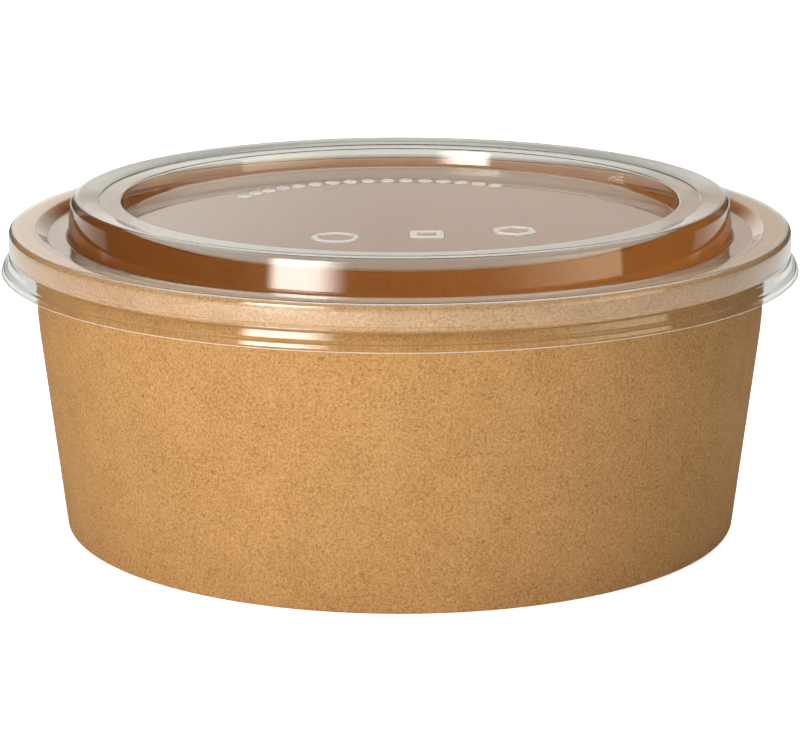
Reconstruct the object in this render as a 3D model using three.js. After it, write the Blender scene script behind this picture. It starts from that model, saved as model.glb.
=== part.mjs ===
// Round takeaway salad bowl of brown kraft board under a clear domed lid.
// Three pieces: the conical side wall with its curled rim and folded foot, the recessed
// base disc held inside that foot, and the thin lid that snaps over the curl.
// Millimetres, +Z up, origin at the middle of the foot on the table.
import * as THREE from "three";

const SEGMENTS = 56; // flat sides round each piece
const ARC_ERROR = 0.06; // how far a rounded corner's straight steps may leave its arc
const CLEARANCE = 0.3; // air between two faces that lie against each other

// Side wall
const BOARD = 0.4; // thickness of the board
const FOOT_RADIUS = 65.1; // outer face of the wall at the table
const WALL_LEAN = 0.1156; // outward lean for each millimetre of height
const BEND_HEIGHT = 42; // above this the wall is pressed upright, towards the rim
const BEND_ROUND = 60;
const FOLD_ROUND = 0.6; // outer corners of the fold under the foot
const HEM_HEIGHT = 6.5; // how far the folded edge reaches up inside the foot
const RIM_RADIUS = 74.4; // outer face of the curled rim
const RIM_TOP = 57.8;
const RIM_UNDERSIDE = 52.9;
const CURL_ROUND = 1.5; // corners of the curl

// Base disc
const BASE_HEIGHT = 9.0; // upper face of the disc
const BASE_ROUND = 1.0; // bend from the disc into its flange
const FLANGE_FOOT = 0.9; // lower edge of the flange, above the fold

// Lid, outer face
const LID_WALL = 0.4; // thickness of the clear sheet
const PANEL_RADIUS = 53.1; // flat panel in the middle, sunk below the ring round it
const PANEL_HEIGHT = 59.45;
const PANEL_ROUND = 0.8;
const RECESS_RADIUS = 53.5; // top edge of the step down to the panel
const RING_HEIGHT = 63.1; // flat ring round the recess
const CREASE_RADIUS = 57.6; // where the ring starts to rise to the shoulder
const SHOULDER_RADIUS = 63.0;
const SHOULDER_HEIGHT = 64.35;
const SHOULDER_ROUND = 1.5;
const DOME_FOOT_RADIUS = 63.9; // where the dome's wall meets the trough
const TROUGH_HEIGHT = 56.7; // flat trough inside the rim, where a stacked foot stands
const TROUGH_RADIUS = 67.6;
const COVER_RADIUS = 69.7; // inner edge of the band that covers the rim
const SMALL_ROUND = 0.5;
const LID_TOP = RIM_TOP + CLEARANCE + LID_WALL;
const COVER_ROUND = 0.8; // the crisp corner above the curl
const LID_RADIUS = RIM_RADIUS + CLEARANCE + LID_WALL;
const SKIRT_DRAFT = 0.2; // how far the skirt leans out towards its lower end
const SKIRT_HEIGHT = 54.3;
const NECK_RADIUS = 74.4; // the skirt's undercut, which snaps in below the curl
const NECK_HEIGHT = 52.3;
const LIP_RADIUS = 76.8; // outer edge of the flared lip
const LIP_HEIGHT = 50.7;

const corner = (radius, height, round = 0) => ({ at: new THREE.Vector2(radius, height), round });

// Outer face of the side wall at a height.
const wallRadius = (height) => FOOT_RADIUS + WALL_LEAN * Math.min(height, BEND_HEIGHT);

// A line through the corners, each rounded by an arc that meets both of its sides.
function roundedLine(corners) {
  const line = [];
  corners.forEach(({ at, round }, i) => {
    if (round === 0) {
      line.push(at);
      return;
    }
    const back = corners[i - 1].at.clone().sub(at).normalize();
    const ahead = corners[i + 1].at.clone().sub(at).normalize();
    const halfAngle = Math.acos(back.dot(ahead)) / 2;
    const inward = back.clone().add(ahead).normalize();
    const centre = at.clone().addScaledVector(inward, round / Math.sin(halfAngle));
    const middle = inward.clone().negate().angle();
    const side = Math.sign(back.cross(ahead)) * (Math.PI / 2 - halfAngle);
    const steps = Math.ceil(Math.abs(side) / Math.acos(1 - ARC_ERROR / round));
    for (let step = 0; step <= steps; step += 1) {
      const angle = middle + side * (1 - (2 * step) / steps);
      line.push(new THREE.Vector2(Math.cos(angle), Math.sin(angle)).multiplyScalar(round).add(centre));
    }
  });
  return line;
}

// Unit normal on the right-hand side of the stretch from one point to the next.
function rightOf(from, to) {
  const along = to.clone().sub(from).normalize();
  return new THREE.Vector2(along.y, -along.x);
}

// The line moved sideways to its right by a distance, with mitred corners.
function movedRight(line, distance) {
  return line.map((at, i) => {
    const before = rightOf(line[Math.max(i - 1, 0)], line[Math.max(i, 1)]);
    const last = line.length - 1;
    const after = rightOf(line[Math.min(i, last - 1)], line[Math.min(i + 1, last)]);
    const mitre = before.clone().add(after).normalize();
    return at.clone().addScaledVector(mitre, distance / mitre.dot(before));
  });
}

// Closed section of a sheet whose outer face is the line and which is solid to its right.
function sheetSection(line, thickness) {
  const section = [...line, ...movedRight(line, thickness).reverse()];
  const meetsAxis = section[0].x === 0;
  return meetsAxis ? section : [...section, section[0].clone()];
}

// A section turned once round the upright axis.
function turned(name, section, material) {
  const upwardOutside = THREE.ShapeUtils.area(section) > 0;
  const points = upwardOutside ? section : section.toReversed();
  const geometry = new THREE.LatheGeometry(points, SEGMENTS).rotateX(Math.PI / 2);
  const mesh = new THREE.Mesh(geometry, material);
  mesh.name = name;
  return mesh;
}

// From the curl's hidden edge round the rim, down the wall and up again inside the foot.
function sideWall(material) {
  const hemInset = 3 * BOARD + 2 * CLEARANCE; // wall, flange and hem lie side by side
  const curlEdge = wallRadius(RIM_UNDERSIDE) + CLEARANCE;
  const line = roundedLine([
    corner(curlEdge, RIM_UNDERSIDE),
    corner(RIM_RADIUS, RIM_UNDERSIDE, CURL_ROUND),
    corner(RIM_RADIUS, RIM_TOP, CURL_ROUND),
    corner(wallRadius(RIM_TOP) - BOARD, RIM_TOP, CURL_ROUND),
    corner(wallRadius(BEND_HEIGHT) - BOARD, BEND_HEIGHT, BEND_ROUND),
    corner(wallRadius(0) - BOARD, BOARD, FOLD_ROUND - BOARD),
    corner(wallRadius(0) - hemInset + BOARD, BOARD, FOLD_ROUND - BOARD),
    corner(wallRadius(HEM_HEIGHT) - hemInset + BOARD, HEM_HEIGHT),
  ]);
  return turned("side_wall", sheetSection(line, -BOARD), material);
}

// A flat disc whose edge is bent down between the wall and its hem.
function baseDisc(material) {
  const inset = BOARD + CLEARANCE;
  const line = roundedLine([
    corner(0, BASE_HEIGHT),
    corner(wallRadius(BASE_HEIGHT) - inset, BASE_HEIGHT, BASE_ROUND),
    corner(wallRadius(FLANGE_FOOT) - inset, FLANGE_FOOT),
  ]);
  return turned("base", sheetSection(line, BOARD), material);
}

// Sunk panel, ring and shoulder, dome wall, trough, rim cover, skirt and flared lip.
function lid(material) {
  const line = roundedLine([
    corner(0, PANEL_HEIGHT),
    corner(PANEL_RADIUS, PANEL_HEIGHT, PANEL_ROUND),
    corner(RECESS_RADIUS, RING_HEIGHT, SMALL_ROUND),
    corner(CREASE_RADIUS, RING_HEIGHT),
    corner(SHOULDER_RADIUS, SHOULDER_HEIGHT, SHOULDER_ROUND),
    corner(DOME_FOOT_RADIUS, TROUGH_HEIGHT, SMALL_ROUND),
    corner(TROUGH_RADIUS, TROUGH_HEIGHT, SMALL_ROUND),
    corner(COVER_RADIUS, LID_TOP, SMALL_ROUND),
    corner(LID_RADIUS, LID_TOP, COVER_ROUND),
    corner(LID_RADIUS + SKIRT_DRAFT, SKIRT_HEIGHT),
    corner(NECK_RADIUS, NECK_HEIGHT, SMALL_ROUND),
    corner(LIP_RADIUS, LIP_HEIGHT),
  ]);
  return turned("lid", sheetSection(line, LID_WALL), material);
}

const kraftBoard = new THREE.MeshStandardMaterial({ color: 0xc99b64, roughness: 0.85, metalness: 0 });
const clearSheet = new THREE.MeshStandardMaterial({
  color: 0xf2f4f4,
  roughness: 0.06,
  metalness: 0,
  transparent: true,
  opacity: 0.25,
});

const group = new THREE.Group();
group.add(sideWall(kraftBoard), baseDisc(kraftBoard), lid(clearSheet));

export default group;
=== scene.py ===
"""A round takeaway salad bowl of brown kraft board under its clear domed lid.

The bowl has three pieces: the side wall with its curled rim and folded foot, the disc held
inside that foot, and the thin clear lid pressed over the rim. Each is a thin sheet, drawn as
an outline, turned round the upright axis and given its thickness. Sizes are in millimetres
until a point is made, and the bowl stands on the table at the origin, its front towards -Y.
"""

import logging
import math
from dataclasses import dataclass
from enum import Enum
from itertools import pairwise

import bmesh
import bpy
from mathutils import Matrix, Vector


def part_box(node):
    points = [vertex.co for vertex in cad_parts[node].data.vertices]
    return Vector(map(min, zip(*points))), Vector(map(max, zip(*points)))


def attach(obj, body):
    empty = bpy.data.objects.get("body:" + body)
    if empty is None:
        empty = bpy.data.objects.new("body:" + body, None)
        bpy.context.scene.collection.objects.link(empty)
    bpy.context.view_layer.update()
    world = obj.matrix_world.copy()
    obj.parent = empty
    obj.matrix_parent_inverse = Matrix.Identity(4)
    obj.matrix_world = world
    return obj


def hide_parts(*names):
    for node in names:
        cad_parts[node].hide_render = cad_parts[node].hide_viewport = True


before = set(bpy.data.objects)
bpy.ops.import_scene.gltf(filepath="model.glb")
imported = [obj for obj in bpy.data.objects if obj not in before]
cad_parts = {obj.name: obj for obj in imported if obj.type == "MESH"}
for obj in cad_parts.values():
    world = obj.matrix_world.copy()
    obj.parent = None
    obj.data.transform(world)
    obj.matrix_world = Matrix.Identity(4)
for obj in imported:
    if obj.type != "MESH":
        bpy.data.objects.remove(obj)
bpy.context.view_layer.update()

log = logging.getLogger("salad_bowl")

MM = 0.001  # metres in a millimetre
TURN_STEPS = 224  # flat steps round each turned sheet
ARC_STEP = math.radians(10.0)  # turn taken by each flat step of a rounded corner
WELD = 0.001  # points closer than this are one point, in millimetres
CUT_ROUND = 0.08  # width of the rounding on every cut edge, in millimetres
CUT_ANGLE = math.radians(65.0)  # edges that turn by more than this are the cut ones
FIRST_SET = 0  # material number of a sheet's faces that have its first set of finishes
SECOND_SET = 3  # material number of those that have its second set
CLOSER = 0.25  # rim and lip are drawn this much nearer to each other than their solids, in millimetres
NOISE_MIDDLE = 0.5  # middle value of a noise pattern
RGB = tuple[float, float, float]
WHITE: RGB = (1.0, 1.0, 1.0)
UP = Vector((0.0, 0.0, 1.0))


def box_mm(node: str) -> tuple[Vector, Vector]:
    """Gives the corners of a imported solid's box.

    Args:
        node: name of the solid.

    Returns:
        Its lowest and highest corner, in millimetres.
    """
    low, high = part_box(node)
    return low / MM, high / MM


# ---------------------------------------------------------------------------- outlines


@dataclass(frozen=True)
class Corner:
    """One corner of an outline, in millimetres.

    Attributes:
        radius: distance from the upright axis.
        height: height above the table.
        round: radius of the arc that rounds the corner, or 0 where it is sharp.
    """

    radius: float
    height: float
    round: float = 0.0

    def point(self) -> Vector:
        """Gives the corner in the XZ plane, in metres."""
        return Vector((self.radius, 0.0, self.height)) * MM


@dataclass(frozen=True)
class Outline:
    """The outline of a thin sheet, which is turned round the upright axis.

    Attributes:
        corners: the corners in order, from one edge of the sheet to the other.
    """

    corners: tuple[Corner, ...]

    def wire(self) -> bmesh.types.BMesh:
        """Draws the outline as a chain of edges with its corners rounded.

        Returns:
            A mesh that holds the chain alone.
        """
        bm = bmesh.new()
        verts = [bm.verts.new(corner.point()) for corner in self.corners]
        for ends in pairwise(verts):
            bm.edges.new(ends)
        places = [corner.point() for corner in self.corners]
        for i, corner in enumerate(self.corners):
            if corner.round == 0.0:
                continue
            turn = (places[i + 1] - places[i]).angle(places[i] - places[i - 1])
            bmesh.ops.bevel(
                bm,
                geom=[verts[i]],
                offset=corner.round * MM * math.tan(turn / 2),
                offset_type="OFFSET",
                affect="VERTICES",
                segments=max(2, math.ceil(turn / ARC_STEP)),
                profile=0.5,
                material=-1,
            )
        return bm

    def turned(self) -> bmesh.types.BMesh:
        """Turns the outline once round the upright axis.

        Returns:
            The open surface, closed at the pole if the outline starts on the axis.
        """
        bm = self.wire()
        bmesh.ops.spin(
            bm,
            geom=bm.verts[:] + bm.edges[:],
            cent=(0.0, 0.0, 0.0),
            axis=UP,
            dvec=(0.0, 0.0, 0.0),
            angle=math.tau,
            steps=TURN_STEPS,
            use_merge=True,
        )
        bmesh.ops.remove_doubles(bm, verts=bm.verts, dist=WELD * MM)
        for face in bm.faces:
            face.smooth = True
        return bm


def face_up(bm: bmesh.types.BMesh) -> None:
    """Makes the faces of an open sheet agree, with the highest one looking up.

    Args:
        bm: the sheet.
    """
    bmesh.ops.recalc_face_normals(bm, faces=bm.faces)
    highest = max(bm.faces, key=lambda face: face.calc_center_median().z)
    if highest.normal.z < 0.0:
        bmesh.ops.reverse_faces(bm, faces=bm.faces)


def sheet_piece(
    name: str,
    bm: bmesh.types.BMesh,
    thickness: float,
    materials: tuple[bpy.types.Material, ...],
) -> bpy.types.Object:
    """Makes an open surface a piece with two faces and rounded cut edges.

    Args:
        name: name of the piece.
        bm: the face that looks up at its highest place; it is freed here.
        thickness: thickness of the sheet below that face, in millimetres.
        materials: finishes of that face, of the other face and of the cut edge, and then the
            same three for the faces marked with SECOND_SET, if the sheet has any.

    Returns:
        The piece, linked to the scene.
    """
    face_up(bm)
    mesh = bpy.data.meshes.new(name)
    bm.to_mesh(mesh)
    bm.free()
    for material in materials:
        mesh.materials.append(material)
    piece = bpy.data.objects.new(name, mesh)
    bpy.context.scene.collection.objects.link(piece)
    wall = piece.modifiers.new("Thickness", "SOLIDIFY")
    wall.thickness = thickness * MM
    wall.offset = -1.0
    wall.use_even_offset = True
    wall.material_offset = 1
    wall.material_offset_rim = 2
    edge = piece.modifiers.new("Cut edge", "BEVEL")
    edge.width = CUT_ROUND * MM
    edge.segments = 2
    edge.limit_method = "ANGLE"
    edge.angle_limit = CUT_ANGLE
    edge.use_clamp_overlap = True
    edge.harden_normals = True
    return piece


# ---------------------------------------------------------------------------- finishes


class Nodes:
    """A node tree being wired, with short ways to add and join its nodes."""

    def __init__(self, tree: bpy.types.NodeTree) -> None:
        """Starts wiring a tree.

        Args:
            tree: the node tree, emptied first.
        """
        tree.nodes.clear()
        self.tree = tree

    def add(self, kind: str, **inputs: object) -> bpy.types.Node:
        """Adds a node and fills its inputs.

        Args:
            kind: the node's type name, without its ShaderNode prefix.
            **inputs: by input name, with _ for a space, a value or the socket to link.

        Returns:
            The new node.
        """
        node = self.tree.nodes.new("ShaderNode" + kind)
        for name, value in inputs.items():
            self.feed(node.inputs[name.replace("_", " ")], value)
        return node

    def feed(self, socket: bpy.types.NodeSocket, value: object) -> None:
        """Links a socket to an input, or sets the input's own value.

        Args:
            socket: the input.
            value: an output socket, or a plain value.
        """
        if isinstance(value, bpy.types.NodeSocket):
            self.tree.links.new(value, socket)
        else:
            socket.default_value = value

    def maths(self, operation: str, *values: object) -> bpy.types.NodeSocket:
        """Adds a Math node.

        Args:
            operation: its operation.
            *values: its inputs in order.

        Returns:
            The result's socket.
        """
        node = self.tree.nodes.new("ShaderNodeMath")
        node.operation = operation
        for socket, value in zip(node.inputs, values):
            self.feed(socket, value)
        return node.outputs[0]

    def remap(self, value: object, given: tuple[float, float], wanted: tuple[float, float],
              smooth: bool = False) -> bpy.types.NodeSocket:
        """Maps a range of values onto another, and holds it there.

        Args:
            value: the value's socket.
            given: lower and upper end of its range.
            wanted: what those ends become.
            smooth: whether it eases in and out.

        Returns:
            The result's socket.
        """
        node = self.add("MapRange", Value=value)
        node.interpolation_type = "SMOOTHSTEP" if smooth else "LINEAR"
        for name, number in zip(("From Min", "From Max", "To Min", "To Max"), (*given, *wanted)):
            node.inputs[name].default_value = number
        return node.outputs[0]

    def noise(self, place: object, scale: float, detail: float, roughness: float = 0.5,
              distortion: float = 0.0) -> bpy.types.NodeSocket:
        """Adds a noise pattern.

        Args:
            place: socket of the coordinates.
            scale: features for each metre.
            detail: octaves of finer noise.
            roughness: share that each finer octave keeps.
            distortion: how far the pattern is pushed about.

        Returns:
            The noise value's socket.
        """
        node = self.add("TexNoise", Vector=place, Scale=scale, Detail=detail, Roughness=roughness,
                        Distortion=distortion)
        return node.outputs["Fac"]

    def off_middle(self, pattern: object) -> bpy.types.NodeSocket:
        """Gives how far a noise pattern lies above its middle value."""
        return self.maths("SUBTRACT", pattern, NOISE_MIDDLE)

    def join(self, share: object, first: object, second: object) -> bpy.types.NodeSocket:
        """Mixes two shaders.

        Args:
            share: socket of the share of the second.
            first: first shader's socket.
            second: second shader's socket.

        Returns:
            The result's socket.
        """
        node = self.tree.nodes.new("ShaderNodeMixShader")
        for socket, value in zip(node.inputs, (share, first, second)):
            self.feed(socket, value)
        return node.outputs[0]

    def blend(self, share: object, first: object, second: object) -> bpy.types.NodeSocket:
        """Mixes two colours.

        Args:
            share: share of the second, a value or a socket.
            first: first colour or socket.
            second: second colour or socket.

        Returns:
            The result's socket.
        """
        node = self.tree.nodes.new("ShaderNodeMix")
        node.data_type = "RGBA"
        self.feed(node.inputs["Factor"], share)
        for name, colour in (("A", first), ("B", second)):
            socket = next(s for s in node.inputs if s.name == name and s.type == "RGBA")
            self.feed(socket, colour if isinstance(colour, bpy.types.NodeSocket) else (*colour, 1.0))
        return next(s for s in node.outputs if s.type == "RGBA")


def new_material(name: str) -> tuple[bpy.types.Material, Nodes]:
    """Starts a node material.

    Args:
        name: name of the material.

    Returns:
        The material and its tree, ready to be wired.
    """
    material = bpy.data.materials.new(name)
    material.use_nodes = True
    return material, Nodes(material.node_tree)


@dataclass(frozen=True)
class PulpGrain:
    """The look of unbleached pulp, which all three finishes of the board share.

    Distances from the middle of a fibre or line are in values of the noise pattern.

    Attributes:
        speckle: fine light and dark speckles for each metre.
        fibre: pressed fibres for each metre.
        fibre_reach: distance from the middle of a fibre within which the pulp is lighter.
        fibre_share: strength of the fibres beside that of the speckles.
        cloud: soft cloudy patches for each metre.
        hair: wandering lines for each metre, of which the dark hairs are pieces.
        hair_edge: distances from the middle of a line at which a hair starts to fade and ends.
        hair_cuts: patches that cut the lines into pieces, for each line.
        hair_kept: values of those patches at which a piece starts to show and is whole.
        hair_weight: weight of the hairs' own colour in a whole piece.
    """

    speckle: float = 2600.0
    fibre: float = 1300.0
    fibre_reach: float = 0.12
    fibre_share: float = 0.8
    cloud: float = 120.0
    hair: float = 270.0
    hair_edge: tuple[float, float] = (0.004, 0.011)
    hair_cuts: float = 2.4
    hair_kept: tuple[float, float] = (0.71, 0.75)
    hair_weight: float = 0.8

    def group(self) -> bpy.types.NodeTree:
        """Builds the shader group, which gives the pulp's tone, its dark hairs and its height.

        Returns:
            The node group.
        """
        tree = bpy.data.node_groups.new("Pulp grain", "ShaderNodeTree")
        nodes = Nodes(tree)
        for name in ("Speckle", "Cloudiness", "Hairs"):
            socket = tree.interface.new_socket(name, in_out="INPUT", socket_type="NodeSocketFloat")
            socket.default_value = 1.0
        for name in ("Tone", "Hair", "Height"):
            tree.interface.new_socket(name, in_out="OUTPUT", socket_type="NodeSocketFloat")
        given = tree.nodes.new("NodeGroupInput").outputs
        result = tree.nodes.new("NodeGroupOutput")
        place = nodes.add("TexCoord").outputs["Object"]

        speckle = nodes.off_middle(nodes.noise(place, self.speckle, detail=1.0))
        ridge = nodes.noise(place, self.fibre, detail=2.0, roughness=0.55, distortion=0.6)
        beside = nodes.maths("ABSOLUTE", nodes.off_middle(ridge))
        fibre = nodes.maths("SUBTRACT", self.fibre_reach, beside)
        fine = nodes.maths("ADD", speckle, nodes.maths("MULTIPLY", fibre, self.fibre_share))
        cloud = nodes.off_middle(nodes.noise(place, self.cloud, detail=3.0))
        tone = nodes.maths("ADD", nodes.maths("MULTIPLY", fine, given["Speckle"]),
                           nodes.maths("MULTIPLY", cloud, given["Cloudiness"]))

        wander = nodes.noise(place, self.hair, detail=1.0, distortion=1.2)
        line = nodes.maths("ABSOLUTE", nodes.off_middle(wander))
        drawn = nodes.remap(line, self.hair_edge, (1.0, 0.0))
        patches = nodes.noise(place, self.hair_cuts * self.hair, detail=0.0)
        kept = nodes.remap(patches, self.hair_kept, (0.0, self.hair_weight))
        hair = nodes.maths("MULTIPLY", nodes.maths("MULTIPLY", drawn, kept), given["Hairs"])

        nodes.feed(result.inputs["Tone"], tone)
        nodes.feed(result.inputs["Hair"], hair)
        nodes.feed(result.inputs["Height"], fine)
        return tree


@dataclass(frozen=True)
class KraftFace:
    """One face of the brown board.

    Attributes:
        name: name of the material.
        dark: colour in the darkest specks.
        light: colour in the lightest specks.
        hair: colour of the dark hairs.
        speckle: strength of the fine speckle.
        cloudiness: strength of the soft patches.
        roughness: roughness of the face.
        hairs: strength of the dark hairs.
        gloss: strength of its own reflection.
        film: weight of a thin clear film over it.
        film_roughness: roughness of that film.
        grain_depth: depth of the grain, in millimetres.
        grain_share: share of that depth that shows in the light.
    """

    name: str
    dark: RGB
    light: RGB
    hair: RGB
    speckle: float
    cloudiness: float
    roughness: float
    hairs: float = 0.6
    gloss: float = 0.25
    film: float = 0.0
    film_roughness: float = 0.3
    grain_depth: float = 0.05
    grain_share: float = 0.7

    def material(self, grain: bpy.types.NodeTree) -> bpy.types.Material:
        """Builds the material.

        Args:
            grain: the shared pulp group.

        Returns:
            The material.
        """
        material, nodes = new_material(self.name)
        pulp = nodes.tree.nodes.new("ShaderNodeGroup")
        pulp.node_tree = grain
        pulp.inputs["Speckle"].default_value = self.speckle
        pulp.inputs["Cloudiness"].default_value = self.cloudiness
        pulp.inputs["Hairs"].default_value = self.hairs
        tone = nodes.remap(pulp.outputs["Tone"], (-0.5, 0.5), (0.0, 1.0))
        colour = nodes.blend(tone, self.dark, self.light)
        colour = nodes.blend(pulp.outputs["Hair"], colour, self.hair)
        bump = nodes.add("Bump", Height=pulp.outputs["Height"], Strength=self.grain_share)
        bump.inputs["Distance"].default_value = self.grain_depth * MM
        shader = nodes.add("BsdfPrincipled", Base_Color=colour, Roughness=self.roughness,
                           Normal=bump.outputs["Normal"])
        shader.inputs["Specular IOR Level"].default_value = self.gloss
        shader.inputs["Coat Weight"].default_value = self.film
        shader.inputs["Coat Roughness"].default_value = self.film_roughness
        nodes.add("OutputMaterial", Surface=shader.outputs[0])
        return material


@dataclass(frozen=True)
class ClearSheet:
    """Thin clear thermoformed plastic.

    Attributes:
        name: name of the material.
        tint: colour of the plastic.
        roughness: roughness of its faces.
        clearness: share of light that goes through rather than being scattered.
        index: index of refraction.
        shade: share of a lamp's light that one face lets through.
        waviness: depth of the unevenness left by forming, in millimetres.
        waves: waves of that unevenness for each metre.
    """

    name: str
    tint: RGB = (0.935, 0.945, 0.925)
    roughness: float = 0.04
    clearness: float = 1.0
    index: float = 1.5
    shade: float = 0.955
    waviness: float = 0.004
    waves: float = 160.0

    def material(self) -> bpy.types.Material:
        """Builds the material, which lets the light of lamps straight through.

        Returns:
            The material.
        """
        material, nodes = new_material(self.name)
        place = nodes.add("TexCoord").outputs["Object"]
        bump = nodes.add("Bump", Height=nodes.noise(place, self.waves, detail=1.0), Strength=1.0)
        bump.inputs["Distance"].default_value = self.waviness * MM
        clear = nodes.add("BsdfPrincipled", Base_Color=(*self.tint, 1.0), Roughness=self.roughness,
                          IOR=self.index, Transmission_Weight=self.clearness,
                          Normal=bump.outputs["Normal"])
        passed = nodes.add("BsdfTransparent", Color=(self.shade, self.shade, self.shade, 1.0))
        path = nodes.add("LightPath").outputs
        lit = nodes.join(path["Is Diffuse Ray"], clear.outputs[0], passed.outputs[0])
        shaded = nodes.join(path["Is Shadow Ray"], lit, passed.outputs[0])
        nodes.add("OutputMaterial", Surface=shaded)
        return material


@dataclass(frozen=True)
class Finishes:
    """The materials of the whole bowl.

    Attributes:
        plain_face: the outside of the board.
        filmed_face: the inside of the board, under its thin film.
        rim_face: the same face where it is stretched round the curled rim, in a lighter, paler copy of
            its colours; that copy is painted light for the light that falls on the open rim.
        clear: the clear sheet of the lid.
        clear_edge: the cut edge of that sheet, which is dull and catches the light.
        clear_mark: the marks pressed up in it, slightly frosted and less clear than the sheet; their
            whitish scatter is a painted highlight for the bright light above that they mirror.
    """

    plain_face: bpy.types.Material
    filmed_face: bpy.types.Material
    rim_face: bpy.types.Material
    clear: bpy.types.Material
    clear_edge: bpy.types.Material
    clear_mark: bpy.types.Material

    @classmethod
    def made(cls) -> "Finishes":
        """Builds every material once.

        Returns:
            The materials.
        """
        grain = PulpGrain().group()
        plain = KraftFace(
            name="kraft_plain_face",
            dark=(0.265, 0.124, 0.041),
            light=(0.595, 0.35, 0.14),
            hair=(0.10, 0.042, 0.016),
            speckle=1.4,
            cloudiness=0.35,
            roughness=0.85,
            gloss=0.1,
        )
        filmed = KraftFace(
            name="kraft_filmed_face",
            dark=(0.37, 0.127, 0.019),
            light=(0.64, 0.275, 0.060),
            hair=(0.12, 0.042, 0.012),
            speckle=1.1,
            cloudiness=0.35,
            roughness=0.7,
            film=0.35,
            film_roughness=0.35,
        )
        # Painted light: a lighter, paler copy of the filmed face for the curled rim, where the light
        # falls openly.
        rim = KraftFace(
            name="kraft_rim_face",
            dark=(0.30, 0.145, 0.052),
            light=(0.70, 0.425, 0.200),
            hair=(0.15, 0.07, 0.03),
            speckle=1.5,
            cloudiness=0.5,
            roughness=0.7,
            film=0.9,
            film_roughness=0.35,
        )
        clear = ClearSheet("clear_plastic")
        cut = ClearSheet("clear_plastic_cut_edge", roughness=0.3, clearness=0.3)
        # Painted highlight: the marks are made less clear so that they show whitish, standing in for the
        # bright light above that they mirror.
        mark = ClearSheet("clear_plastic_mark_painted_highlight", roughness=0.25, clearness=0.7)
        return cls(
            plain_face=plain.material(grain),
            filmed_face=filmed.material(grain),
            rim_face=rim.material(grain),
            clear=clear.material(),
            clear_edge=cut.material(),
            clear_mark=mark.material(),
        )


class Slot(Enum):
    """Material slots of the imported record."""

    BOARD = "kraft_board"
    CLEAR = "clear_sheet"


def set_in_frame(piece: bpy.types.Object, node: str) -> None:
    """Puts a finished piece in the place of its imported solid.

    Args:
        piece: the finished piece.
        node: the solid that it stands for.
    """
    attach(piece, "root")
    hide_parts(node)


# ---------------------------------------------------------------------------- the bowl


@dataclass(frozen=True)
class Wall:
    """The board wall, from its curled rim down to the edge folded up inside the foot.

    Attributes:
        rim_radius: outer face of the curl.
        rim_top: top of the curl.
        board: thickness of the board.
        foot_radius: outer face at the table.
        lean: outward lean for each millimetre of height.
        bend_height: above this the wall stands upright.
        bend_round: radius of that bend.
        rim_underside: underside of the curl.
        curl_round: radius of the curl's outer corners.
        tuck_round: radius where the curl turns in beside the wall.
        tuck_height: height of the tucked edge above the curl's underside.
        hem_height: height of the folded edge inside the foot.
        fold_share: radius of each corner of that fold, as a share of the fold's width.
        slip: air between two layers pressed together.
    """

    rim_radius: float
    rim_top: float
    board: float = 0.35
    foot_radius: float = 65.1
    lean: float = 0.1156
    bend_height: float = 42.0
    bend_round: float = 60.0
    rim_underside: float = 52.9
    curl_round: float = 1.5
    tuck_round: float = 0.7
    tuck_height: float = 1.12
    hem_height: float = 6.5
    fold_share: float = 0.45
    slip: float = 0.03

    def outside(self, height: float) -> float:
        """Gives the radius of the wall's outer face at a height."""
        return self.foot_radius + self.lean * min(height, self.bend_height)

    def outline(self) -> Outline:
        """Draws the filmed face.

        Returns:
            Its outline, from the curl's tucked edge to the edge of the hem.
        """
        layer = self.board + self.slip
        tuck = self.outside(self.rim_top) + layer
        inside = self.outside(self.rim_top) - self.board
        foot = self.outside(0.0) - self.board
        hem = foot - layer - self.slip
        fold = self.fold_share * (foot - hem)
        return Outline((
            Corner(tuck, self.rim_underside + self.tuck_height),
            Corner(tuck, self.rim_underside, self.tuck_round),
            Corner(self.rim_radius, self.rim_underside, self.curl_round),
            Corner(self.rim_radius, self.rim_top, self.curl_round),
            Corner(inside, self.rim_top, self.curl_round),
            Corner(self.outside(self.bend_height) - self.board, self.bend_height, self.bend_round),
            Corner(foot, self.board, fold),
            Corner(hem, self.board, fold),
            Corner(hem + self.lean * self.hem_height, self.hem_height),
        ))

    def build(self, finishes: Finishes) -> bpy.types.Object:
        """Turns the wall and dresses it.

        Args:
            finishes: the bowl's materials.

        Returns:
            The piece.
        """
        bm = self.outline().turned()
        plain = finishes.plain_face
        # The outer half of the curl takes the copy of the filmed face with painted light.
        crest = (self.outside(self.rim_top) + self.rim_radius) / 2
        for face in bm.faces:
            if face.calc_center_median().xy.length > crest * MM:
                face.material_index = SECOND_SET
        piece = sheet_piece("bowl_side_wall", bm, self.board,
                            (finishes.filmed_face, plain, plain, finishes.rim_face, plain, plain))
        set_in_frame(piece, "side_wall")
        return piece


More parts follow.
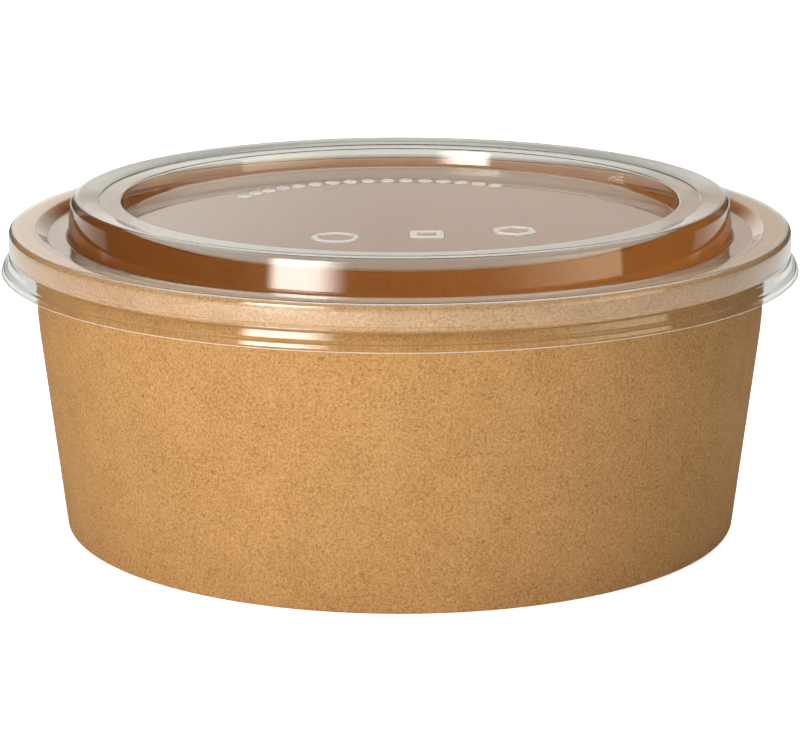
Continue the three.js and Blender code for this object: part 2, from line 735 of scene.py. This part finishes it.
@dataclass(frozen=True)
class BaseDisc:
    """The disc that closes the foot, its edge bent down between the wall and its hem.

    Attributes:
        wall: the wall that holds it.
        height: upper face of the disc.
        flange_foot: lower edge of the bent flange.
        bend_round: radius of the bend.
    """

    wall: Wall
    height: float
    flange_foot: float
    bend_round: float = 1.0

    def outline(self) -> Outline:
        """Draws the filmed upper face.

        Returns:
            Its outline, from the middle to the flange's edge.
        """
        inset = self.wall.board + self.wall.slip
        return Outline((
            Corner(0.0, self.height),
            Corner(self.wall.outside(self.height) - inset, self.height, self.bend_round),
            Corner(self.wall.outside(self.flange_foot) - inset, self.flange_foot),
        ))

    def build(self, finishes: Finishes) -> bpy.types.Object:
        """Turns the disc and dresses it.

        Args:
            finishes: the bowl's materials.

        Returns:
            The piece.
        """
        piece = sheet_piece("bowl_base_disc", self.outline().turned(), self.wall.board,
                            (finishes.filmed_face, finishes.plain_face, finishes.plain_face))
        set_in_frame(piece, "base")
        return piece


class MarkShape(Enum):
    """Shapes of the raised marks, each with the number of its flat sides."""

    SMALL_RING = 16
    RING = 24
    SQUARE = 4
    HEXAGON = 6


@dataclass(frozen=True)
class RaisedMark:
    """A plain hollow mark pressed up in the lid's panel.

    Attributes:
        x: place to the right of the middle.
        y: place behind the middle.
        shape: its shape.
        radius: radius of the circle round the whole mark.
        bead: width of its flat top.
        turn_deg: angle from the X axis, in degrees.
        collar: width of the flat ring that is kept round the mark.
    """

    x: float
    y: float
    shape: MarkShape
    radius: float
    bead: float
    turn_deg: float = 0.0
    collar: float = 0.25

    def lay(self, bm: bmesh.types.BMesh, height: float) -> bmesh.types.BMFace:
        """Lays the mark's flat outline, filled, in a mesh.

        Args:
            bm: the mesh.
            height: height of the panel, in millimetres.

        Returns:
            The face inside the outline.
        """
        place = Matrix.Translation(Vector((self.x, self.y, height)) * MM)
        turn = Matrix.Rotation(math.radians(self.turn_deg), 4, "Z")
        outline = bmesh.ops.create_circle(
            bm,
            cap_ends=True,
            radius=(self.radius + self.collar) * MM,
            segments=self.shape.value,
            matrix=place @ turn,
        )
        return outline["verts"][0].link_faces[0]

    def press(self, bm: bmesh.types.BMesh, face: bmesh.types.BMFace, slope: float, height: float) -> None:
        """Presses the mark up out of the panel.

        Args:
            bm: the mesh.
            face: the face inside its outline.
            slope: width of its sloping side, in millimetres.
            height: its height, in millimetres.
        """
        collar = (self.collar, 0.0, FIRST_SET)
        up = (slope, height, SECOND_SET)
        top = (self.bead, 0.0, SECOND_SET)
        down = (slope, -height, SECOND_SET)
        for width, rise, material in (collar, up, top, down):
            ring = bmesh.ops.inset_individual(
                bm,
                faces=[face],
                thickness=width * MM,
                depth=rise * MM,
                use_even_offset=True,
            )
            for side in ring["faces"]:
                side.material_index = material
            for edge in face.edges:
                edge.smooth = False


@dataclass(frozen=True)
class Lid:
    """The clear lid, from its sunk panel out to the flared lip.

    Attributes:
        lip_radius: outer edge of the lip.
        lip_height: height of the outer face at the lip's edge.
        sheet: thickness of the clear sheet.
        field_radius: inside this the panel holds the raised marks.
        panel_radius: edge of the flat panel.
        panel_round: radius of the bend at that edge.
        panel_height: upper face of the panel.
        recess_radius: top edge of the step down to the panel.
        ring_height: flat ring round the recess.
        crease_radius: where the ring starts to rise to the shoulder.
        crease_step: height and width of the fine step there.
        crease_round: radius of the bends above and below that step.
        shoulder_radius: meeting of the rising ring and the dome's wall.
        shoulder_height: height of that meeting.
        shoulder_round: radius that rounds it.
        dome_foot_radius: where the dome's wall meets the trough.
        trough_height: height of the trough.
        trough_radius: outer edge of the trough.
        cover_radius: inner edge of the band over the rim.
        cover_height: height of that band.
        skirt_radius: face round the rim, at its top.
        skirt_round: radius of the corner between band and skirt.
        belly_radius: the same face a little lower, where it turns upright.
        belly_height: height of that turn.
        belly_round: radius of that turn.
        skirt_draft: how much wider the skirt is at its foot than there.
        skirt_height: lower end of the skirt.
        groove_radius: the groove that grips below the rim.
        groove_height: height of the groove.
        neck_radius: top of the band below the groove.
        neck_height: height of that top.
        ledge_radius: foot of the band, where the ledge begins.
        ledge_height: height of the ledge.
        lip_start: height of the ledge's outer edge, where the lip turns down.
        lip_draft: how much wider the lip is just above its turned-out edge than at its start.
        lip_kick: height and width of the turned-out edge of the lip.
        small_round: radius of the small bends.
        fine_round: radius of the bends between skirt and neck, and at the lip's edge.
        soft_round: radius of the bends at the ledge.
        mark_height: height of the raised marks.
        mark_slope: width of their sloping sides.
        row_radius: radius of the arc that the row of small rings follows.
        row_marks: how many of them there are.
        row_start_deg: angle of the first, from the X axis, in degrees.
        row_step_deg: angle from each to the next, in degrees.
        row_mark_radius: outer radius of each.
        row_mark_bead: width of its flat top.
        front_marks: the larger marks in front.
    """

    lip_radius: float
    lip_height: float
    sheet: float = 0.25
    field_radius: float = 48.0
    panel_radius: float = 53.1
    panel_round: float = 0.8
    panel_height: float = 59.45
    recess_radius: float = 53.5
    ring_height: float = 63.1
    crease_radius: float = 57.6
    crease_step: float = 0.18
    crease_round: float = 0.1
    shoulder_radius: float = 63.0
    shoulder_height: float = 64.37
    shoulder_round: float = 1.5
    dome_foot_radius: float = 63.9
    trough_height: float = 56.7
    trough_radius: float = 67.6
    cover_radius: float = 69.7
    cover_height: float = 58.4
    skirt_radius: float = 74.93
    skirt_round: float = 1.0
    belly_radius: float = 75.03
    belly_height: float = 57.0
    belly_round: float = 10.0
    skirt_draft: float = 0.07
    skirt_height: float = 54.3
    groove_radius: float = 74.6
    groove_height: float = 53.65
    neck_radius: float = 75.1
    neck_height: float = 53.2
    ledge_radius: float = 75.4
    ledge_height: float = 51.8
    lip_start: float = 51.5
    lip_draft: float = 0.12
    lip_kick: float = 0.25
    small_round: float = 0.5
    fine_round: float = 0.25
    soft_round: float = 0.5
    mark_height: float = 0.25
    mark_slope: float = 0.35
    row_radius: float = 36.0
    row_marks: int = 16
    row_start_deg: float = 149.0
    row_step_deg: float = 6.1
    row_mark_radius: float = 1.6
    row_mark_bead: float = 0.3
    front_marks: tuple[RaisedMark, ...] = (
        RaisedMark(-12.0, -23.0, MarkShape.RING, radius=4.6, bead=0.7, turn_deg=3.0),
        RaisedMark(5.0, -20.0, MarkShape.SQUARE, radius=4.6, bead=0.7, turn_deg=45.0),
        RaisedMark(21.5, -16.5, MarkShape.HEXAGON, radius=4.6, bead=0.7, turn_deg=7.0),
    )

    def outline(self) -> Outline:
        """Draws the outer face.

        Returns:
            Its outline, from the edge of the marked field to the lip.
        """
        small, fine, crease = self.small_round, self.fine_round, self.crease_round
        return Outline((
            Corner(self.field_radius, self.panel_height),
            Corner(self.panel_radius, self.panel_height, self.panel_round),
            Corner(self.recess_radius, self.ring_height, small),
            Corner(self.crease_radius, self.ring_height, crease),
            Corner(self.crease_radius + self.crease_step, self.ring_height + self.crease_step, crease),
            Corner(self.shoulder_radius, self.shoulder_height, self.shoulder_round),
            Corner(self.dome_foot_radius, self.trough_height, small),
            Corner(self.trough_radius, self.trough_height, small),
            Corner(self.cover_radius, self.cover_height, small),
            Corner(self.skirt_radius, self.cover_height, self.skirt_round),
            Corner(self.belly_radius, self.belly_height, self.belly_round),
            Corner(self.belly_radius + self.skirt_draft, self.skirt_height, fine),
            Corner(self.groove_radius, self.groove_height, fine),
            Corner(self.neck_radius, self.neck_height, fine),
            Corner(self.ledge_radius, self.ledge_height, self.soft_round),
            Corner(self.lip_radius - self.lip_kick - self.lip_draft, self.lip_start, self.soft_round),
            Corner(self.lip_radius - self.lip_kick, self.lip_height + self.lip_kick, fine),
            Corner(self.lip_radius, self.lip_height),
        ))

    def marks(self) -> list[RaisedMark]:
        """Lists the plain marks in the panel.

        Returns:
            The row of small rings from left to right, and the larger marks in front.
        """
        marks = []
        for step in range(self.row_marks):
            angle = math.radians(self.row_start_deg - self.row_step_deg * step)
            x, y = self.row_radius * math.cos(angle), self.row_radius * math.sin(angle)
            marks.append(RaisedMark(x, y, MarkShape.SMALL_RING, self.row_mark_radius, self.row_mark_bead))
        return [*marks, *self.front_marks]

    def fill_panel(self, bm: bmesh.types.BMesh) -> None:
        """Closes the middle of the lid with the flat panel and presses the marks up in it.

        Args:
            bm: the turned part of the lid, open inside the marked field.
        """
        limit = (self.field_radius + self.panel_radius) / 2 * MM
        loop = [edge for edge in bm.edges if edge.is_boundary and edge.verts[0].co.xy.length < limit]
        marks = self.marks()
        faces = [mark.lay(bm, self.panel_height) for mark in marks]
        around = [edge for face in faces for edge in face.edges]
        bmesh.ops.triangle_fill(bm, use_beauty=True, use_dissolve=False, edges=loop + around, normal=UP)
        face_up(bm)
        for mark, face in zip(marks, faces):
            mark.press(bm, face, self.mark_slope, self.mark_height)

    def build(self, finishes: Finishes) -> bpy.types.Object:
        """Turns the lid, fills its panel and dresses it.

        Args:
            finishes: the bowl's materials.

        Returns:
            The piece.
        """
        bm = self.outline().turned()
        self.fill_panel(bm)
        # The raised marks take the less clear finish with its painted highlight.
        clear, edge, mark = finishes.clear, finishes.clear_edge, finishes.clear_mark
        piece = sheet_piece("clear_lid", bm, self.sheet, (clear, clear, edge, mark, mark, edge))
        set_in_frame(piece, "lid")
        return piece


# ---------------------------------------------------------------------------- the studio


@dataclass(frozen=True)
class Softbox:
    """A flat rectangular light that faces the bowl.

    Attributes:
        name: name of the light.
        azimuth_deg: its bearing from the bowl's front, positive to the right, in degrees.
        distance: its distance from the bowl's axis, in millimetres.
        height: height of its middle above the table, in millimetres.
        width: its width, in millimetres.
        drop: its own height, in millimetres.
        radiance: brightness of its face, where white paper in full light is 1.
        fade_left: share of its width over which its left side fades out.
        fade_right: share of its width over which its right side fades out.
        fade_foot: share of its own height over which its lower end fades out.
        tint: its colour.
        mirrored: whether shiny faces mirror it.
        lights: whether it lights dull faces, or is a card that shiny ones alone mirror.
    """

    name: str
    azimuth_deg: float
    distance: float
    height: float
    width: float
    drop: float
    radiance: float
    fade_left: float = 0.05
    fade_right: float = 0.05
    fade_foot: float = 0.02
    tint: RGB = WHITE
    mirrored: bool = True
    lights: bool = True

    def hang(self, aim: Vector) -> None:
        """Hangs the light so that it faces a point.

        Args:
            aim: the point, in metres.
        """
        azimuth = math.radians(self.azimuth_deg)
        out = Vector((math.sin(azimuth), -math.cos(azimuth), 0.0)) * self.distance
        place = (out + UP * self.height) * MM
        data = bpy.data.lights.new(self.name, "AREA")
        data.shape = "RECTANGLE"
        data.size, data.size_y = self.width * MM, self.drop * MM
        data.energy = self.radiance * math.pi * data.size * data.size_y
        data.color = self.tint
        data.use_nodes = True
        nodes = Nodes(data.node_tree)
        face = nodes.add("SeparateXYZ", Vector=nodes.add("NewGeometry").outputs["Parametric"]).outputs
        left = nodes.remap(face["X"], (0.0, self.fade_left), (0.0, 1.0), smooth=True)
        right = nodes.remap(face["X"], (1.0 - self.fade_right, 1.0), (1.0, 0.0), smooth=True)
        foot = nodes.remap(face["Y"], (0.0, self.fade_foot), (0.0, 1.0), smooth=True)
        across = nodes.maths("MULTIPLY", left, right)
        glow = nodes.add("Emission", Strength=nodes.maths("MULTIPLY", across, foot))
        nodes.add("OutputLight", Surface=glow.outputs[0])
        light = bpy.data.objects.new(self.name, data)
        light.location = place
        light.rotation_euler = (place - aim).to_track_quat("Z", "Y").to_euler()
        light.visible_camera = False
        light.visible_diffuse = self.lights
        light.visible_glossy = self.mirrored
        light.visible_transmission = self.mirrored
        bpy.context.scene.collection.objects.link(light)


def softboxes() -> tuple[Softbox, ...]:
    """Lists the lights of the studio.

    Returns:
        The key light, the card that shiny faces alone mirror, and the soft lights above and in front.
    """
    return (
        Softbox(
            name="key_softbox",
            azimuth_deg=-28.8,
            distance=450.0,
            height=132.0,
            width=228.0,
            drop=260.0,
            radiance=12.4,
            fade_left=0.2,
            fade_right=0.5,
            fade_foot=0.3,
            tint=(1.0, 0.95, 0.88),
        ),
        Softbox(
            name="right_card",
            azimuth_deg=50.0,
            distance=450.0,
            height=100.0,
            width=440.0,
            drop=200.0,
            radiance=2.1,
            fade_left=0.8,
            tint=(1.0, 0.86, 0.6),
            lights=False,
        ),
        Softbox(
            name="top_softbox",
            azimuth_deg=180.0,
            distance=400.0,
            height=800.0,
            width=1200.0,
            drop=700.0,
            radiance=1.5,
            tint=(1.0, 0.97, 0.92),
        ),
        Softbox(
            name="top_fill",
            azimuth_deg=180.0,
            distance=150.0,
            height=850.0,
            width=1200.0,
            drop=700.0,
            radiance=1.75,
            mirrored=False,
        ),
        Softbox(
            name="front_fill",
            azimuth_deg=12.0,
            distance=550.0,
            height=300.0,
            width=420.0,
            drop=420.0,
            radiance=1.7,
            mirrored=False,
        ),
    )


@dataclass(frozen=True)
class Studio:
    """The white table, the backdrop and the camera, with the softboxes round them.

    The heights, bearings and depths of the backdrop are parts of a direction whose length is 1.

    Attributes:
        table_size: side of the white table, in millimetres.
        table_glow: light that the table itself gives.
        table_shown: light that it gives to the camera alone, so that it shows as pale as the room.
        table_white: how much light it sends back.
        backdrop_low: brightness of the backdrop at the horizon.
        backdrop_high: its brightness at its waist.
        backdrop_waist: height of that waist.
        backdrop_top: height at which it has faded out.
        backdrop_left: what its left side has more.
        backdrop_turn: bearing to the left from which it has all of that.
        backdrop_side: bearing at which it starts to fade to each side; at twice that it ends.
        backdrop_near: depth behind the bowl from which it has its full brightness.
        room: brightness of the dim room in front of the bowl and over it.
        room_tint: colour of the room's light; to the camera the backdrop is plain white.
        camera_distance: distance from the camera to the point it looks at, in millimetres.
        camera_elevation_deg: how far above the horizon the camera stands, in degrees.
        aim_height: height of the point it looks at, in millimetres.
        lens: focal length of the camera, in millimetres.
        picture_width: width of the picture behind that lens, in millimetres.
    """

    table_size: float = 2200.0
    table_glow: float = 0.1
    table_shown: float = 0.6
    table_white: float = 0.9
    backdrop_low: float = 0.95
    backdrop_high: float = 0.62
    backdrop_waist: float = 0.19
    backdrop_top: float = 0.7
    backdrop_left: float = 0.32
    backdrop_turn: float = 0.12
    backdrop_side: float = 0.16
    backdrop_near: float = 0.2
    room: float = 0.03
    room_tint: RGB = (1.0, 0.985, 0.91)
    camera_distance: float = 598.5
    camera_elevation_deg: float = 14.0
    aim_height: float = 27.0
    lens: float = 137.87
    picture_width: float = 36.0

    def lay_table(self) -> None:
        """Lays the white table that the bowl stands on."""
        bm = bmesh.new()
        bmesh.ops.create_grid(bm, x_segments=1, y_segments=1, size=self.table_size / 2 * MM)
        mesh = bpy.data.meshes.new("table")
        bm.to_mesh(mesh)
        bm.free()
        material, nodes = new_material("white_table")
        white = self.table_white
        shader = nodes.add("BsdfPrincipled", Base_Color=(white, white, white, 1.0), Roughness=0.9)
        shader.inputs["Specular IOR Level"].default_value = 0.0
        shader.inputs["Emission Color"].default_value = (*WHITE, 1.0)
        camera_ray = nodes.add("LightPath").outputs["Is Camera Ray"]
        seen = nodes.maths("MULTIPLY_ADD", camera_ray, self.table_shown, self.table_glow)
        nodes.feed(shader.inputs["Emission Strength"], seen)
        nodes.add("OutputMaterial", Surface=shader.outputs[0])
        mesh.materials.append(material)
        table = bpy.data.objects.new("table", mesh)
        bpy.context.scene.collection.objects.link(table)

    def light_room(self) -> None:
        """Sets the backdrop behind the bowl and the dim room in front of it."""
        world = bpy.data.worlds.new("room")
        world.use_nodes = True
        bpy.context.scene.world = world
        nodes = Nodes(world.node_tree)
        ray = nodes.add("SeparateXYZ", Vector=nodes.add("TexCoord").outputs["Generated"]).outputs
        foot, upper = (0.0, self.backdrop_waist), (self.backdrop_waist, self.backdrop_top)
        low = nodes.remap(ray["Z"], foot, (self.backdrop_low - self.backdrop_high, 0.0))
        high = nodes.remap(ray["Z"], upper, (self.backdrop_high, 0.0), smooth=True)
        left = nodes.remap(ray["X"], (-self.backdrop_turn, 0.0), (self.backdrop_left, 0.0), smooth=True)
        left = nodes.maths("MULTIPLY", left, nodes.remap(ray["Z"], upper, (1.0, 0.0)))
        lit = nodes.maths("ADD", nodes.maths("ADD", low, high), left)
        behind = nodes.remap(ray["Y"], (0.0, self.backdrop_near), (0.0, 1.0), smooth=True)
        beside = nodes.maths("ABSOLUTE", ray["X"])
        sides = (self.backdrop_side, 2.0 * self.backdrop_side)
        middle = nodes.remap(beside, sides, (1.0, 0.0), smooth=True)
        lit = nodes.maths("MULTIPLY_ADD", lit, nodes.maths("MULTIPLY", behind, middle), self.room)
        camera_ray = nodes.add("LightPath").outputs["Is Camera Ray"]
        colour = nodes.blend(camera_ray, self.room_tint, WHITE)
        back = nodes.add("Background", Color=colour, Strength=nodes.maths("MAXIMUM", lit, camera_ray))
        nodes.add("OutputWorld", Surface=back.outputs[0])

    def place_camera(self) -> None:
        """Places the camera at the photograph's viewing angle."""
        elevation = math.radians(self.camera_elevation_deg)
        out = Vector((0.0, -math.cos(elevation), math.sin(elevation)))
        data = bpy.data.cameras.new("camera")
        data.lens = self.lens
        data.sensor_width = self.picture_width
        camera = bpy.data.objects.new("camera", data)
        camera.location = (UP * self.aim_height + out * self.camera_distance) * MM
        camera.rotation_euler = out.to_track_quat("Z", "Y").to_euler()
        bpy.context.scene.collection.objects.link(camera)
        bpy.context.scene.camera = camera

    def set_up(self) -> None:
        """Sets up the whole studio."""
        scene = bpy.context.scene
        scene.view_settings.view_transform = "Standard"
        scene.view_settings.look = "None"
        self.place_camera()
        self.lay_table()
        self.light_room()
        aim = UP * self.aim_height * MM
        for light in softboxes():
            light.hang(aim)


def main() -> None:
    """Builds the bowl, its lid and the studio."""
    logging.basicConfig(level=logging.INFO, format="%(name)s: %(message)s")
    finishes = Finishes.made()
    _, rim = box_mm("side_wall")
    base_low, base_high = box_mm("base")
    lid_low, lid_high = box_mm("lid")
    wall = Wall(rim_radius=rim.x + CLOSER, rim_top=rim.z + CLOSER)
    disc = BaseDisc(wall, height=base_high.z, flange_foot=base_low.z)
    lid = Lid(lip_radius=lid_high.x - CLOSER, lip_height=lid_low.z)
    for part in (wall, disc, lid):
        piece = part.build(finishes)
        log.info("%s: %d faces before its thickness", piece.name, len(piece.data.polygons))
    Studio().set_up()
    log.info("studio set: camera, table, room and lights")


if __name__ == "__main__":
    main()
